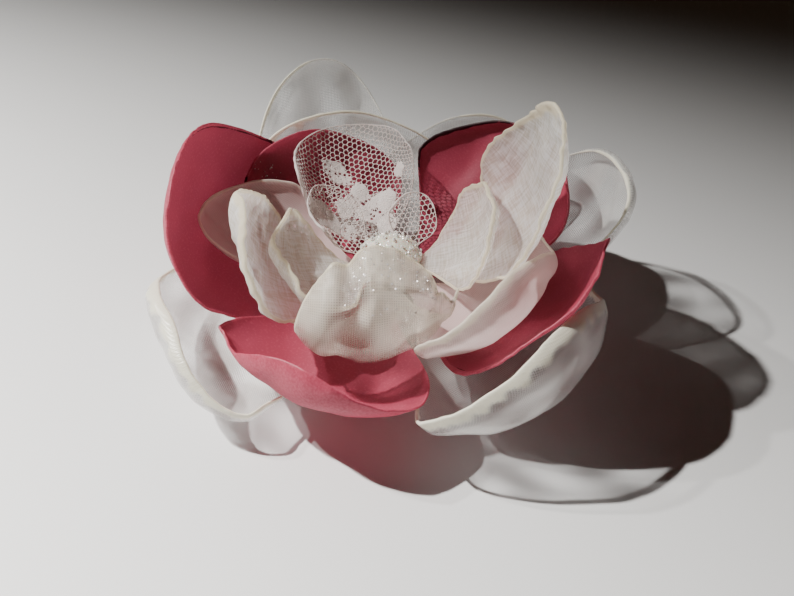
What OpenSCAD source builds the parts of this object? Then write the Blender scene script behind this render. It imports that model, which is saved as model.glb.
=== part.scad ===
// A layered cloth flower brooch, lying on its back on the bar pin under it.
// Each petal is a round of cloth, narrow at its root, bent up along its length, cupped across
// it, and rolled in at the rim where a flame has shrunk it. The roots stand round a core of glue
// that carries a crown of beads. Millimetres and degrees. The front petals point along -Y.
// The origin is at the middle of the flower's box, on the surface that it lies on.

/* [Cloth] */
// Thickness of each petal's wall
cloth_t = 1; // [0.8:0.1:1.4]
// Clear gap between the roots of one layer and the next
layer_gap = 0.2; // [0.15:0.05:0.6]

/* [Petals] */
// Length of the longest petal along its middle
petal_l = 75; // [65:1:90]
// Width of the widest petal, laid flat
petal_w = 60; // [50:1:70]
// Distance from the flower's middle line to the petals' roots
root_r = 5; // [4:0.5:8]
// Height of the ruffles round the rims
ruffle_h = 0.5; // [0:0.1:1]

/* [Glue core] */
// Gap between the core's stem and the petals' roots
stem_gap = 0.5; // [0.4:0.1:1]
// Radius of the crown that carries the beads
crown_r = 6.5; // [5.5:0.5:8]
// Height of the crown's dome
crown_h = 4.5; // [2:0.5:8]

/* [Backing] */
// Diameter of the felt disc under the petals
felt_d = 22; // [18:1:30]
// Thickness of the felt disc
felt_t = 1; // [0.8:0.1:2]

/* [Bar pin] */
// Length of the plate, over its round ends
plate_l = 28; // [24:1:32]
// Width of the plate
plate_w = 5; // [4:0.5:8]
// Thickness of the plate
plate_t = 0.8; // [0.6:0.1:1.2]
// Height of the pin, from the surface it lies on to the plate's top
pin_h = 3.4; // [3:0.1:4.2]
// Diameter of the needle
needle_d = 0.9; // [0.7:0.1:1.2]
// Length along the plate of the hinge block, and of the catch
block_l = 3; // [2:0.5:4]
// Width of the hinge block
block_w = 3.2; // [2.4:0.2:4]
// Diameter of the catch's barrel
catch_d = 2; // [1.6:0.1:2.4]

/* [Hidden] */
// Clear gap between hard pieces that seat on each other
seat_gap = 0.1;
// Share of a petal's radius that its rolled rim takes
rim_roll = 0.14;
// Half width, in degrees, of a corner that is drawn out to a point
corner_w = 25;
// Shares along a petal where its rim starts to roll in, and rolls in fully
curl_from = .15;
curl_full = .55;
// Shares along a petal where it has widened fully from its root, and has its full cup and roll
wide_at = .6;
cup_at = .5;
// Share of the radius past which the rim ruffles, and the shares along where ruffles start and are full
ruffle_out = .5;
ruffle_from = .1;
ruffle_full = .5;
// How strongly the rows of a petal's grid are drawn towards its rim, as an angle
row_pull = 72;
// Step for a slope, as a share of a petal's radius
slope_step = 0.01;
// Below this a curvature counts as none, and a length as nothing
tiny = 0.0001;

// Columns of the petal table. Angles are in degrees, and shares along a petal run from its root
// at 0 to its tip at 1.
NAME = 0;    // the node's name
CLOTH = 1;   // what it is cut from
LEVEL = 2;   // how many layers its root lies above the lowest
AZ = 3;      // where it points, anticlockwise from +X
LONG = 4;    // its length, a share of petal_l
WIDE = 5;    // its width, a share of petal_w
ROOT = 6;    // the width kept at its root, a share of its width
RISE = 7;    // its slope at the root
LIFT = 8;    // its slope at the tip
BEND = 9;    // where along it the slope starts to change
SET = 10;    // where along it the slope stops changing
CUP = 11;    // how far each flank curves up
ROLL = 12;   // its turn about its own length, with the anticlockwise flank up
LEAN = 13;   // how far its tip sweeps round, anticlockwise
CURL = 14;   // how far its rim is rolled in
WAVES = 15;  // ruffles round its rim
PHASE = 16;  // where they start
TIP = 17;    // how far a corner is drawn out, a share of its radius
TIP_AT = 18; // where that corner is, round from its tip towards its anticlockwise flank

PETALS = [
    ["organza_front_left", "organza", 0, 200, .80, .92, .25, -10, 111, .48, 1, 30, -2, 2, 95, 4, 30, 0, 0],
    ["organza_front_right", "organza", 1, 311, .86, .93, .2, -10, 119, .36, 1, 44, 4, 2, 65, 5, 0, 0, 0],
    ["organza_right", "organza", 2, 16, .85, .70, .2, -2, 96, .3, 1, 55, 4, 0, 140, 5, 90, .1, -35],
    ["organza_back", "organza", 1, 65, .85, .75, .2, -9, 85, .4, 1, 18, 15, 0, 60, 6, 40, 0, 0],
    ["organza_back_left", "organza", 0, 120, .99, .70, .25, -7, 80, .24, 1, 42, 10, -13, 45, 6, 90, 0, 0],
    ["organza_inner_back", "organza", 2, 101, .67, .88, .2, 1, 91, .26, 1, 22, -7, 11, 80, 7, 60, 0, 0],
    ["satin_left", "satin", 3, 171, .81, .93, .25, -2, 107, .18, 1, 33, -5, 0, 30, 4, 0, 0, 0],
    ["satin_front", "satin", 4, 249, .64, .73, .3, -3, 114, .58, 1, 30, -4, -4, 24, 6, 120, .08, -75],
    ["satin_right", "satin", 5, 321, .68, .67, .25, -3, 76, .2, 1, 20, 5, 5, 5, 5, 0, .1, 40],
    ["satin_back_right", "satin", 3, 36, .65, .80, .25, 8, 83, .28, 1, 44, 5, 2, 60, 7, 30, 0, 0],
    ["satin_back_left", "satin", 4, 119, .56, .70, .26, 5, 81, .29, 1, 14, 0, 10, 50, 6, 90, 0, 0],
    ["chiffon_left", "chiffon", 5, 165, .52, .50, .2, 9, 45, .28, 1, 47, -7, 5, 70, 4, 0, .12, 35],
    ["chiffon_front_right", "chiffon", 6, 318, .63, .75, .2, 1, 118, .37, 1, 43, 5, -5, 60, 5, 60, 0, 0],
    ["lace_back", "lace", 6, 112, .48, .63, .2, 19, 47, .39, 1, 82, -4, -2, 11, 6, 0, 0, 0],
    ["lace_right", "lace", 7, 63, .21, .20, .3, 20, 60, .3, 1, 30, 0, 6, 20, 5, 0, 0, 0],
    ["lace_left", "lace", 7, 141, .28, .24, .3, 22, 62, .3, 1, 50, 0, 0, 10, 5, 0, 0, 0],
    ["crepe_hood", "crepe", 7, 269, .69, .61, .25, 4, 170, .37, .9, 54, 14, 0, 20, 6, 30, 0, 0],
    ["crepe_left", "crepe", 7, 206, .58, .52, .25, 16, 107, .32, 1, 16, -20, -2, 60, 4, 0, 0, 0],
    ["crepe_front_left", "crepe", 8, 214, .39, .50, .25, 20, 90, .55, 1, 40, -18, 0, 60, 5, 0, 0, 0],
    ["crepe_tall_right", "crepe", 7, 354, .70, .64, .25, 22, 98, .11, 1, 33, 12, -2, 32, 5, 0, .05, 0],
    ["crepe_back_right", "crepe", 8, 354, .38, .52, .25, 29, 104, .37, 1, 16, 10, -8, 38, 4, 0, 0, 0],
];

// The steepest that any petal leaves the core, and how far the lowest layer droops from it
steepest = max([for (p = PETALS) p[RISE]]);
droop = max([for (p = PETALS) if (p[LEVEL] == 0) -p[RISE]]);
top_level = max([for (p = PETALS) p[LEVEL]]);

// Heights above the pin's feet: the felt, the middle of the lowest root, and the crown's rim
felt_z = pin_h + seat_gap;
felt_top = felt_z + felt_t;
layer_step = cloth_t + layer_gap;
first_z = felt_top + layer_gap + max(0, felt_d / 2 - root_r) * tan(droop) + cloth_t / 2;
last_z = first_z + top_level * layer_step;
crown_z = last_z + (crown_r - root_r) * tan(steepest) + cloth_t / 2 / cos(steepest) + layer_gap;
stem_r = root_r - stem_gap;
block_x = plate_l / 2 - plate_w / 2;

function clip(v) = min(1, max(0, v));

// 0 below a, 1 above b, and an easy curve from the one to the other
function ease(v, a, b) = let (t = clip((v - a) / (b - a))) t * t * (3 - 2 * t);

// An angle brought between -180 and 180
function wrap(a) = a - 360 * floor((a + 180) / 360);

// How far an arc that turns by k degrees for each unit of its length s runs on, and climbs
function arc_run(k, s) = abs(k) < tiny ? s : sin(k * s) / (k * PI / 180);
function arc_climb(k, s) = abs(k) < tiny ? 0 : (1 - cos(k * s)) / (k * PI / 180);

// A point of the middle of a petal's wall. The petal is cut as a unit disc, on which x goes
// across it and y along it, with its root at y = -1.
function petal_point(p, x, y) =
    let (
        length = p[LONG] * petal_l,
        half = p[WIDE] * petal_w / 2,
        r = max(norm([x, y]), tiny),
        around = atan2(x, y),
        // The rim rolls in on an arc, and the drawn corner reaches out
        curl = p[CURL] * ease((y + 1) / 2, curl_from, curl_full),
        rolled = clip((r - 1 + rim_roll) / rim_roll),
        reach = min(r, 1 - rim_roll) + (r > 1 - rim_roll ? rim_roll * arc_run(curl, rolled) : 0),
        corner = p[TIP] * exp(-pow(wrap(around - p[TIP_AT]) / corner_w, 2)) * r * r,
        scale_to = reach / r * (1 + corner),
        t = (y * scale_to + 1) / 2,
        // Across: cupped on an arc, narrow at the root, then turned about the petal's length
        s = half * x * scale_to * (p[ROOT] + (1 - p[ROOT]) * ease(t, 0, wide_at)),
        cup = p[CUP] * ease(t, 0, cup_at) / half,
        across = arc_run(cup, s),
        roll = p[ROLL] * ease(t, 0, cup_at),
        side = across * cos(roll) - arc_climb(cup, s) * sin(roll),
        ruffle = sin(p[WAVES] * around + p[PHASE]) * ease(r, ruffle_out, 1)
            * ease(t, ruffle_from, ruffle_full),
        off = across * sin(roll) + arc_climb(cup, s) * cos(roll)
            + half * rim_roll * arc_climb(curl, rolled) + ruffle_h * ruffle,
        // Along: straight at the root's slope, round the bend, then straight at the tip's slope
        turn = (p[LIFT] - p[RISE]) / (p[SET] - p[BEND]) / length,
        bent = length * max(0, min(t, p[SET]) - p[BEND]),
        slope = p[RISE] + turn * bent,
        first = length * min(t, p[BEND]) + arc_run(turn, bent),
        climb = arc_climb(turn, bent),
        last = length * max(0, t - p[SET]),
        rad = root_r + first * cos(p[RISE]) - climb * sin(p[RISE]) + last * cos(slope)
            - off * sin(slope),
        z = first_z + p[LEVEL] * layer_step + first * sin(p[RISE]) + climb * cos(p[RISE])
            + last * sin(slope) + off * cos(slope),
        az = p[AZ] + p[LEAN] * t
    )
    [rad * cos(az) - side * sin(az), rad * sin(az) + side * cos(az), z];

// The inner and the outer skin of the wall at a point of the disc, with the slopes that set
// their direction taken towards the disc's middle, where the petal has cloth
function wall_pair(p, x, y) =
    let (
        here = petal_point(p, x, y),
        dx = x > 0 ? -slope_step : slope_step,
        dy = y > 0 ? -slope_step : slope_step,
        across = (petal_point(p, x + dx, y) - here) / dx,
        along = (petal_point(p, x, y + dy) - here) / dy,
        normal = cross(along, across),
        half_wall = normal / norm(normal) * cloth_t / 2
    )
    [here + half_wall, here - half_wall];

// Grid steps across a petal, more on the larger ones
function steps(p) = p[LONG] > .72 ? 12 : p[LONG] > .45 ? 10 : 8;

// Places from -1 to 1 of the rows of a square grid, closer together near its sides
function row_at(i, n) = sin(row_pull * (2 * i / n - 1)) / sin(row_pull);

// The square grid, squeezed to the disc
function wall_pairs(p) =
    let (n = steps(p))
    [for (i = [0:n], j = [0:n])
        let (
            a = row_at(i, n),
            b = row_at(j, n)
        )
        wall_pair(p, a * sqrt(1 - b * b / 2), b * sqrt(1 - a * a / 2))];

// Two triangles of a four-sided facet
function halves(q) = [[q[0], q[1], q[2]], [q[0], q[2], q[3]]];

// Facets of a wall on an n by n grid: the inner skin, the outer skin and the strip round the rim
function wall_faces(n) =
    let (
        row = n + 1,
        outer = row * row,
        rim = concat(
            [for (i = [0:n - 1]) i * row],
            [for (j = [0:n - 1]) n * row + j],
            [for (i = [n:-1:1]) i * row + n],
            [for (j = [n:-1:1]) j])
    )
    concat(
        [for (i = [0:n - 1], j = [0:n - 1])
            let (k = i * row + j)
            each halves([k, k + row, k + row + 1, k + 1])],
        [for (i = [0:n - 1], j = [0:n - 1])
            let (k = i * row + j + outer)
            each halves([k, k + 1, k + row + 1, k + row])],
        [for (m = [0:4 * n - 1])
            let (
                here = rim[m],
                next = rim[(m + 1) % (4 * n)]
            )
            each halves([next, here, here + outer, next + outer])]);

WALLS = [for (p = PETALS) wall_pairs(p)];

// The box of all the petals, which sets the origin
low = [for (k = [0:2]) min([for (w = WALLS, pair = w, point = pair) point[k]])];
high = [for (k = [0:2]) max([for (w = WALLS, pair = w, point = pair) point[k]])];
heart = [-(low.x + high.x) / 2, -(low.y + high.y) / 2, -min(0, low.z)];

function tint(cloth) =
    cloth == "satin" ? "#9c2740" :
    cloth == "organza" ? "#e6e6e2" :
    cloth == "chiffon" ? "#e2c6c4" :
    cloth == "lace" ? "#f1ecea" : "#e9dfce";

module petal(i) {
    color(tint(PETALS[i][CLOTH]))
    translate(heart)
    polyhedron(
        points = concat([for (pair = WALLS[i]) pair[0]], [for (pair = WALLS[i]) pair[1]]),
        faces = wall_faces(steps(PETALS[i])));
}

// A stem of glue on the felt, and a dome whose underside clears the steepest petals
module bead_core() {
    under = (crown_r - stem_r) * tan(steepest);
    color("#efe9e2")
    translate(heart)
    rotate_extrude($fn = 64)
    polygon(concat(
        [[0, felt_top + seat_gap], [stem_r, felt_top + seat_gap], [stem_r, crown_z - under]],
        [for (a = [0:10:80]) [crown_r * cos(a), crown_z + crown_h * sin(a)]],
        [[0, crown_z + crown_h]]));
}

module felt_backing() {
    color("#e3ddd2")
    translate(heart + [0, 0, felt_z])
    cylinder(d = felt_d, h = felt_t, $fn = 96);
}

// Plate, hinge block, needle and catch, closed, in one piece
module bar_pin() {
    color("#b9bbbd")
    translate(heart) {
        translate([0, 0, pin_h - plate_t]) {
            translate([-block_x, -plate_w / 2, 0])
            cube([2 * block_x, plate_w, plate_t]);
            for (end = [-1, 1])
                translate([end * block_x, 0, 0])
                cylinder(d = plate_w, h = plate_t, $fn = 48);
        }
        translate([-block_x - block_l / 2, -block_w / 2, 0])
        cube([block_l, block_w, pin_h - plate_t / 2]);
        translate([block_x - block_l / 2, 0, catch_d / 2])
        rotate([0, 90, 0])
        cylinder(d = catch_d, h = block_l, $fn = 32);
        translate([block_x - block_l / 2, -plate_t / 2, catch_d / 2])
        cube([block_l, plate_t, pin_h - plate_t / 2 - catch_d / 2]);
        translate([-block_x, 0, catch_d / 2])
        rotate([0, 90, 0])
        cylinder(d = needle_d, h = 2 * block_x + block_l / 2, $fn = 24);
    }
}

for (i = [0:len(PETALS) - 1])
    petal(i);
bead_core();
felt_backing();
bar_pin();
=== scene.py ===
"""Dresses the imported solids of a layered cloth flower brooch: petals, lace net, beads, felt and pin.

The file is laid out as an add-on and run as a script. Each petal is worked out by the same formula
as its solid, on a finer grid and at the cloth's own thickness. Lengths inside the functions are
in millimetres and angles in degrees, and meshes are put in place in metres.
"""

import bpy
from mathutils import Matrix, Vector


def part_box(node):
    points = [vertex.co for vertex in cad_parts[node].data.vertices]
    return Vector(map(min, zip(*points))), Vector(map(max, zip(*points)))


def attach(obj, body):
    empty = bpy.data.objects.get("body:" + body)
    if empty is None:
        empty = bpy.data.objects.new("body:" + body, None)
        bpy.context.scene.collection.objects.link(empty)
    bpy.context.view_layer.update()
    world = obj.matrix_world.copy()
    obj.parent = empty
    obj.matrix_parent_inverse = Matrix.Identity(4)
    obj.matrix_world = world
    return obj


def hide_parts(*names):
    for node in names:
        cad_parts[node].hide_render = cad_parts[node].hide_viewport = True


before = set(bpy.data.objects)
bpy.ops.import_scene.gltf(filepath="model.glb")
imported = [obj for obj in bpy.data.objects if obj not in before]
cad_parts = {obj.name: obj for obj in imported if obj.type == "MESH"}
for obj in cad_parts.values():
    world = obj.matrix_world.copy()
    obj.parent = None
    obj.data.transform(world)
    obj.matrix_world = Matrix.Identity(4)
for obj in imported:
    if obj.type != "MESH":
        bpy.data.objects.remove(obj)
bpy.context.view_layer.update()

from collections import namedtuple

import bpy
import numpy as np
from mathutils import Vector

bl_info = {
    "name": "Cloth flower brooch",
    "version": (1, 0, 0),
    "blender": (4, 5, 0),
    "location": "View3D > Sidebar > Flower",
    "description": "Dresses a layered cloth flower brooch, lying on its back, with a pale stage round it",
    "category": "Object",
}

MM = 0.001

# The size of the picture that the camera is framed for, and where it looks, in its pixels
PICTURE = (794, 596)
AIM_AT = (390, 262)
FOCAL_PX = 940

# What the petals' solids are made from, in the source's own terms
ROOT_R = 5.0
LAYER_STEP = 1.2
CLOTH_T = 1.0
LAYER_GAP = 0.2
RIM_ROLL = 0.14
CORNER_W = 25.0
CURL_FROM, CURL_FULL = 0.15, 0.55
WIDE_AT, CUP_AT = 0.6, 0.5
STEM_R, CROWN_H = 4.5, 4.5
RUFFLE_OUT, RUFFLE_FROM, RUFFLE_FULL = 0.5, 0.1, 0.5

# In millimetres: how far in from the rim its crimps and its bead reach, the width below which a
# burnt band pales, and how far beads and flakes stand off what they lie on
CRIMP_REACH, BEAD_REACH = 2.5, 0.7
THIN_BAND = 0.28
BEAD_LIFT, FLAKE_LIFT = 0.25, 0.03

# The shares along a petal at which its folds begin and are full, the turn in radians from one bead
# to the next in a sunflower's spiral, and the number of flakes on the glue
FREE_FROM, FREE_FULL = 0.05, 0.3
SPIRAL = 2.39996
GLUE_FLAKES = 150

Petal = namedtuple("Petal", (
    "node cloth level az long wide root rise lift bend set cup roll lean curl waves phase tip tip_at"))

Cut = namedtuple("Cut", (*Petal._fields, "length", "half", "ruffle", "seed"))

# Length and width are shares of the longest and the widest petal. Angles are in degrees, and bend
# and set are shares along the petal.
PETALS = [Petal(*row) for row in [
    ("organza_front_left", "organza", 0, 200, .80, .92, .25, -10, 111, .48, 1, 30, -2, 2, 95, 4, 30, 0, 0),
    ("organza_front_right", "organza", 1, 311, .86, .93, .2, -10, 119, .36, 1, 44, 4, 2, 65, 5, 0, 0, 0),
    ("organza_right", "organza", 2, 16, .85, .70, .2, -2, 96, .3, 1, 55, 4, 0, 140, 5, 90, .1, -35),
    ("organza_back", "organza", 1, 65, .85, .75, .2, -9, 85, .4, 1, 18, 15, 0, 60, 6, 40, 0, 0),
    ("organza_back_left", "organza", 0, 120, .99, .70, .25, -7, 80, .24, 1, 42, 10, -13, 45, 6, 90, 0, 0),
    ("organza_inner_back", "organza", 2, 101, .67, .88, .2, 1, 91, .26, 1, 22, -7, 11, 80, 7, 60, 0, 0),
    ("satin_left", "satin", 3, 171, .81, .93, .25, -2, 107, .18, 1, 33, -5, 0, 30, 4, 0, 0, 0),
    ("satin_front", "satin", 4, 249, .64, .73, .3, -3, 114, .58, 1, 30, -4, -4, 24, 6, 120, .08, -75),
    ("satin_right", "satin", 5, 321, .68, .67, .25, -3, 76, .2, 1, 20, 5, 5, 5, 5, 0, .1, 40),
    ("satin_back_right", "satin", 3, 36, .65, .80, .25, 8, 83, .28, 1, 44, 5, 2, 60, 7, 30, 0, 0),
    ("satin_back_left", "satin", 4, 119, .56, .70, .26, 5, 81, .29, 1, 14, 0, 10, 50, 6, 90, 0, 0),
    ("chiffon_left", "chiffon", 5, 165, .52, .50, .2, 9, 45, .28, 1, 47, -7, 5, 70, 4, 0, .12, 35),
    ("chiffon_front_right", "chiffon", 6, 318, .63, .75, .2, 1, 118, .37, 1, 43, 5, -5, 60, 5, 60, 0, 0),
    ("lace_back", "lace", 6, 112, .48, .63, .2, 19, 47, .39, 1, 82, -4, -2, 11, 6, 0, 0, 0),
    ("lace_right", "lace", 7, 63, .21, .20, .3, 20, 60, .3, 1, 30, 0, 6, 20, 5, 0, 0, 0),
    ("lace_left", "lace", 7, 141, .28, .24, .3, 22, 62, .3, 1, 50, 0, 0, 10, 5, 0, 0, 0),
    ("crepe_hood", "crepe", 7, 269, .69, .61, .25, 4, 170, .37, .9, 54, 14, 0, 20, 6, 30, 0, 0),
    ("crepe_left", "crepe", 7, 206, .58, .52, .25, 16, 107, .32, 1, 16, -20, -2, 60, 4, 0, 0, 0),
    ("crepe_front_left", "crepe", 8, 214, .39, .50, .25, 20, 90, .55, 1, 40, -18, 0, 60, 5, 0, 0, 0),
    ("crepe_tall_right", "crepe", 7, 354, .70, .64, .25, 22, 98, .11, 1, 33, 12, -2, 32, 5, 0, .05, 0),
    ("crepe_back_right", "crepe", 8, 354, .38, .52, .25, 29, 104, .37, 1, 16, 10, -8, 38, 4, 0, 0, 0),
]]


Rim = namedtuple("Rim", "node plain wide at spread inset sheer")

# The melted or burnt band along each petal's rim: its width in millimetres all round, its width
# where it is widest, the place of that, round from the tip towards the anticlockwise flank, and
# how far it spreads, both in degrees, how far in from the rim the band starts there, and how
# sheer the petal is for its cloth.
RIMS = {row[0]: Rim(*row) for row in [
    ("organza_front_left", 0.5, 3.0, -12, 62, 0, 1),
    ("organza_front_right", 1.0, 2.4, 5, 80, 0, 1),
    ("organza_right", 0.2, 0.6, -30, 35, 0, 1.1),
    ("organza_back", 0.15, 0.9, -4, 14, 0, 1),
    ("organza_back_left", 0.12, 0.9, 40, 22, 0, 1),
    ("organza_inner_back", 0.5, 3.4, 25, 40, 0, 1.1),
    ("satin_left", 0.2, 0.36, 40, 75, 1.2, 0),
    ("satin_front", 0.05, 0.25, -20, 60, 1.5, 0),
    ("satin_right", 0.08, 0.25, -45, 55, 2.6, 0),
    ("satin_back_right", 0.1, 0.7, 55, 30, 0, 0),
    ("satin_back_left", 0.04, 0.3, 60, 20, 0, 0),
    ("chiffon_left", 0.2, 0.7, 8, 30, 0, 0.5),
    ("chiffon_front_right", 0.35, 1.0, -30, 50, 0, 1),
    ("crepe_hood", 0.2, 0.3, 0, 60, 0, 1.5),
    ("crepe_left", 0.4, 1.2, 40, 50, 0, 0.5),
    ("crepe_front_left", 0.4, 1.2, -60, 50, 0, 0.7),
    ("crepe_tall_right", 0.4, 1.8, 20, 30, 0, 0.9),
    ("crepe_back_right", 0.4, 0.8, 60, 50, 0, 1.5),
]}

Fold = namedtuple("Fold", "x0 y0 x1 y1 height width")

# Folds and bulges pressed into the petals by hand: from and to, on the disc, with the height
# towards the hollow side and half the width in millimetres.
FOLDS = {node: [Fold(*row) for row in rows] for node, rows in {
    "crepe_hood": [
        (-.62, .45, -.66, .10, -1.6, 4.0), (-.40, .92, -.30, .50, 3.4, 1.9),
        (-.30, .50, -.42, .25, 1.4, 2.6), (-.16, .66, .46, .60, -1.7, 1.7),
        (.05, .45, .36, .36, 1.2, 2.8), (.58, .80, .52, .35, 2.2, 1.1),
        (-.30, .05, .55, .10, -1.2, 2.4)],
    "crepe_left": [
        (-.10, .95, .35, .20, -0.9, 1.6), (.30, .60, .70, .30, 0.8, 2.2),
        (.45, .15, .80, .25, -0.7, 1.2)],
    "crepe_front_left": [
        (-.55, .40, .30, .30, 0.6, 1.4)],
    "crepe_tall_right": [
        (.10, .80, .30, -.30, 0.8, 2.6), (.62, .55, .45, -.20, -0.6, 1.4),
        (-.30, .60, -.45, -.20, -0.5, 2.0)],
    "crepe_back_right": [
        (-.45, .65, -.50, -.30, 0.8, 1.0), (.10, .50, -.10, -.50, -0.7, 2.4)],
    "organza_front_left": [
        (-.60, .30, .20, .55, 0.8, 4.0), (-.09, .26, .50, -.10, -0.5, 1.6)],
    "organza_front_right": [
        (-.50, .30, .40, .50, -0.9, 4.5), (.20, -.10, .60, .55, 0.6, 2.2)],
    "organza_right": [
        (-.15, .80, -.55, .25, 0.9, 2.0), (.30, .75, .10, .10, -0.6, 3.0)],
    "organza_back_left": [
        (.60, .55, .30, .80, 1.1, 1.6), (.35, .30, -.10, .70, -0.7, 4.0)],
    "organza_inner_back": [
        (.35, .60, -.55, .55, 0.6, 2.6)],
    "satin_left": [
        (.60, .25, -.20, .60, 0.7, 5.0), (-.45, .15, -.50, .70, -0.7, 4.0)],
    "satin_front": [
        (-.50, -.15, .10, .70, -0.7, 4.0), (.35, .30, .80, .20, 0.7, 3.0)],
    "satin_right": [
        (-.40, .20, .50, .60, -0.6, 4.0)],
    "satin_back_right": [
        (.35, .60, .40, -.20, 0.7, 3.0)],
    "satin_back_left": [
        (.40, .60, .20, -.10, -0.7, 3.0)],
    "chiffon_left": [
        (.05, .95, .45, .10, -0.9, 2.0)],
    "chiffon_front_right": [
        (-.10, .90, .55, .45, 0.7, 2.4)],
}.items()}

Thin = namedtuple("Thin", "x y reach more")

# Where a petal's cloth is drawn thin, or where it is doubled and denser: the place and reach on the
# disc, and how much more or less light goes straight through.
THINS = {node: [Thin(*row) for row in rows] for node, rows in {
    "crepe_hood": [
        (.45, .36, .22, .25), (-.30, .10, .40, .42), (.20, .10, .30, .25), (-.32, .62, .12, .40),
        (-.05, .80, .26, -.25), (-.66, .45, .22, -.22), (-.08, .45, .13, -.15)],
    "crepe_tall_right": [
        (.80, .10, .30, .20)],
    "crepe_back_right": [
        (.30, .10, .40, .15)],
}.items()}

Leaf = namedtuple("Leaf", "across along turn length width holed")

# The lace's stitched parts: a wide loosely stitched ground, holed, with closely stitched leaves
# round its middle, and single leaves off it. Places on the flat cut in millimetres, and the turn
# from the petal's length in degrees.
LEAVES = {node: [Leaf(*row) for row in rows] for node, rows in {
    "lace_back": [
        (-0.8, 11.5, 0, 15.0, 13.5, 1), (2.5, 24.5, 35, 9.0, 4.6, 1), (-6.4, 13.9, -25, 5.6, 4.4, 0),
        (-4.2, 8.2, -10, 5.2, 4.2, 0), (-1.2, 18.6, 10, 4.6, 3.8, 0), (3.4, 15.4, 40, 5.0, 3.4, 0),
        (4.4, 10.6, 75, 4.6, 3.2, 0), (-0.4, 13.4, 0, 3.2, 2.8, 0), (-12.0, 19.0, -20, 4.6, 2.8, 0)],
    "lace_left": [
        (1.6, 14.5, 12, 9.5, 5.6, 0), (-1.0, 8.0, -15, 5.0, 3.2, 1)],
}.items()}

Sparkle = namedtuple("Sparkle", "node x0 x1 y0 y1 side count")

# Where glitter lies on the petals: a patch of the disc, the side, 1 hollow or -1 round, and the
# number of flakes.
SPARKLES = [Sparkle(*row) for row in [
    ("crepe_hood", -.45, .55, .40, .95, -1, 90),
    ("satin_back_left", .20, .95, -.30, .85, 1, 120),
    ("satin_front", -.60, .80, .50, .95, 1, 50),
    ("lace_back", -.30, .30, -.90, -.60, 1, 30),
]]

# Halfway between the ways to the key lamp and to the camera: flakes that face it glint
GLINT = np.array([-0.35, -0.40, 0.85])

# The crepe petal that is of finer, silkier cloth, and the one with holes worked into its flank
FINE_NODE, HOLED_NODE = "crepe_hood", "crepe_front_left"

# How far out on the disc a lace petal's net reaches
NET_REACH = 0.985


def round_solid(low, high):
    """The radius, bottom and top of a round solid, in millimetres, from its box."""
    return (high.x - low.x) / 2 / MM, low.z / MM, high.z / MM


def place_of_heart():
    """The flower's middle in plan, and the height of the lowest root, in millimetres, from the solids.

    The lowest root lies over the felt by the layers' gap, half a wall, and the droop of the lowest
    petals over the felt's rim.
    """
    low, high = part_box("felt_backing")
    felt_r, _, felt_top = round_solid(low, high)
    droop = max(-p.rise for p in PETALS if p.level == 0)
    first = felt_top + LAYER_GAP + (felt_r - ROOT_R) * np.tan(np.radians(droop)) + CLOTH_T / 2
    return np.array([(low.x + high.x) / 2 / MM, (low.y + high.y) / 2 / MM, 0.0]), first


HEART, FIRST_Z = place_of_heart()


# Shapes


def ease(v, a, b):
    """0 below a, 1 above b, and an easy curve between them."""
    t = np.clip((v - a) / (b - a), 0, 1)
    return t * t * (3 - 2 * t)


def turns(count):
    """Angles all the way round, in equal steps."""
    return np.arange(count) * 2 * np.pi / count


def arc(k, s):
    """How far an arc of curvature k runs on, and climbs, in a length s."""
    k = np.where(np.abs(k) < 1e-6, 1e-6, k)
    return np.sin(k * s) / k, (1 - np.cos(k * s)) / k


def unit(v):
    """Vectors made one long."""
    return v / np.maximum(np.linalg.norm(v, axis=-1, keepdims=True), 1e-12)


def ripples(u, v, wave, seed, count=9):
    """Sine waves of about one length, summed in random directions, about -1 to 1."""
    rng = np.random.default_rng(seed)
    turn = rng.uniform(0, np.pi, count)
    phase = rng.uniform(0, 2 * np.pi, count)
    rate = 2 * np.pi / (wave * rng.uniform(0.7, 1.4, count))
    along = np.multiply.outer(u, np.cos(turn) * rate) + np.multiply.outer(v, np.sin(turn) * rate)
    return np.sin(along + phase).sum(-1) / np.sqrt(2 * count)


def petals(sizes):
    """The petals with their length, half their width and their ruffles in millimetres, laid flat."""
    return [
        Cut(*p, p.long * sizes.petal_length / MM, p.wide * sizes.petal_width / MM / 2,
            sizes.ruffle_height / MM, seed)
        for seed, p in enumerate(PETALS)]


def width_share(p, t):
    """The share of its width that a petal has at a share t of its length: narrow at the root."""
    return p.root + (1 - p.root) * ease(t, 0, WIDE_AT)


def cut_point(p, x, y):
    """A place on the flat cut, from a place on the unit disc, with how far the rolled rim lifts it.

    The disc's outer share is shortened along an arc, as a rolled rim is, one corner is drawn out,
    and the width narrows to the root. Gives the distance across, the share along and the lift.
    """
    r = np.maximum(np.hypot(x, y), 1e-9)
    around = np.degrees(np.arctan2(x, y))
    curl = np.radians(p.curl) * ease((y + 1) / 2, CURL_FROM, CURL_FULL)
    rolled = np.clip((r - 1 + RIM_ROLL) / RIM_ROLL, 0, 1)
    run, climb = arc(curl, rolled)
    reach = np.minimum(r, 1 - RIM_ROLL) + np.where(r > 1 - RIM_ROLL, RIM_ROLL * run, 0)
    off_corner = (around - p.tip_at + 180) % 360 - 180
    scale = reach / r * (1 + p.tip * np.exp(-(off_corner / CORNER_W) ** 2) * r * r)
    t = (y * scale + 1) / 2
    s = p.half * x * scale * width_share(p, t)
    ruffle = np.sin(np.radians(p.waves * around + p.phase)) * ease(r, RUFFLE_OUT, 1)
    ruffle = ruffle * ease(t, RUFFLE_FROM, RUFFLE_FULL)
    return s, t, p.half * RIM_ROLL * climb + p.ruffle * ruffle


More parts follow.
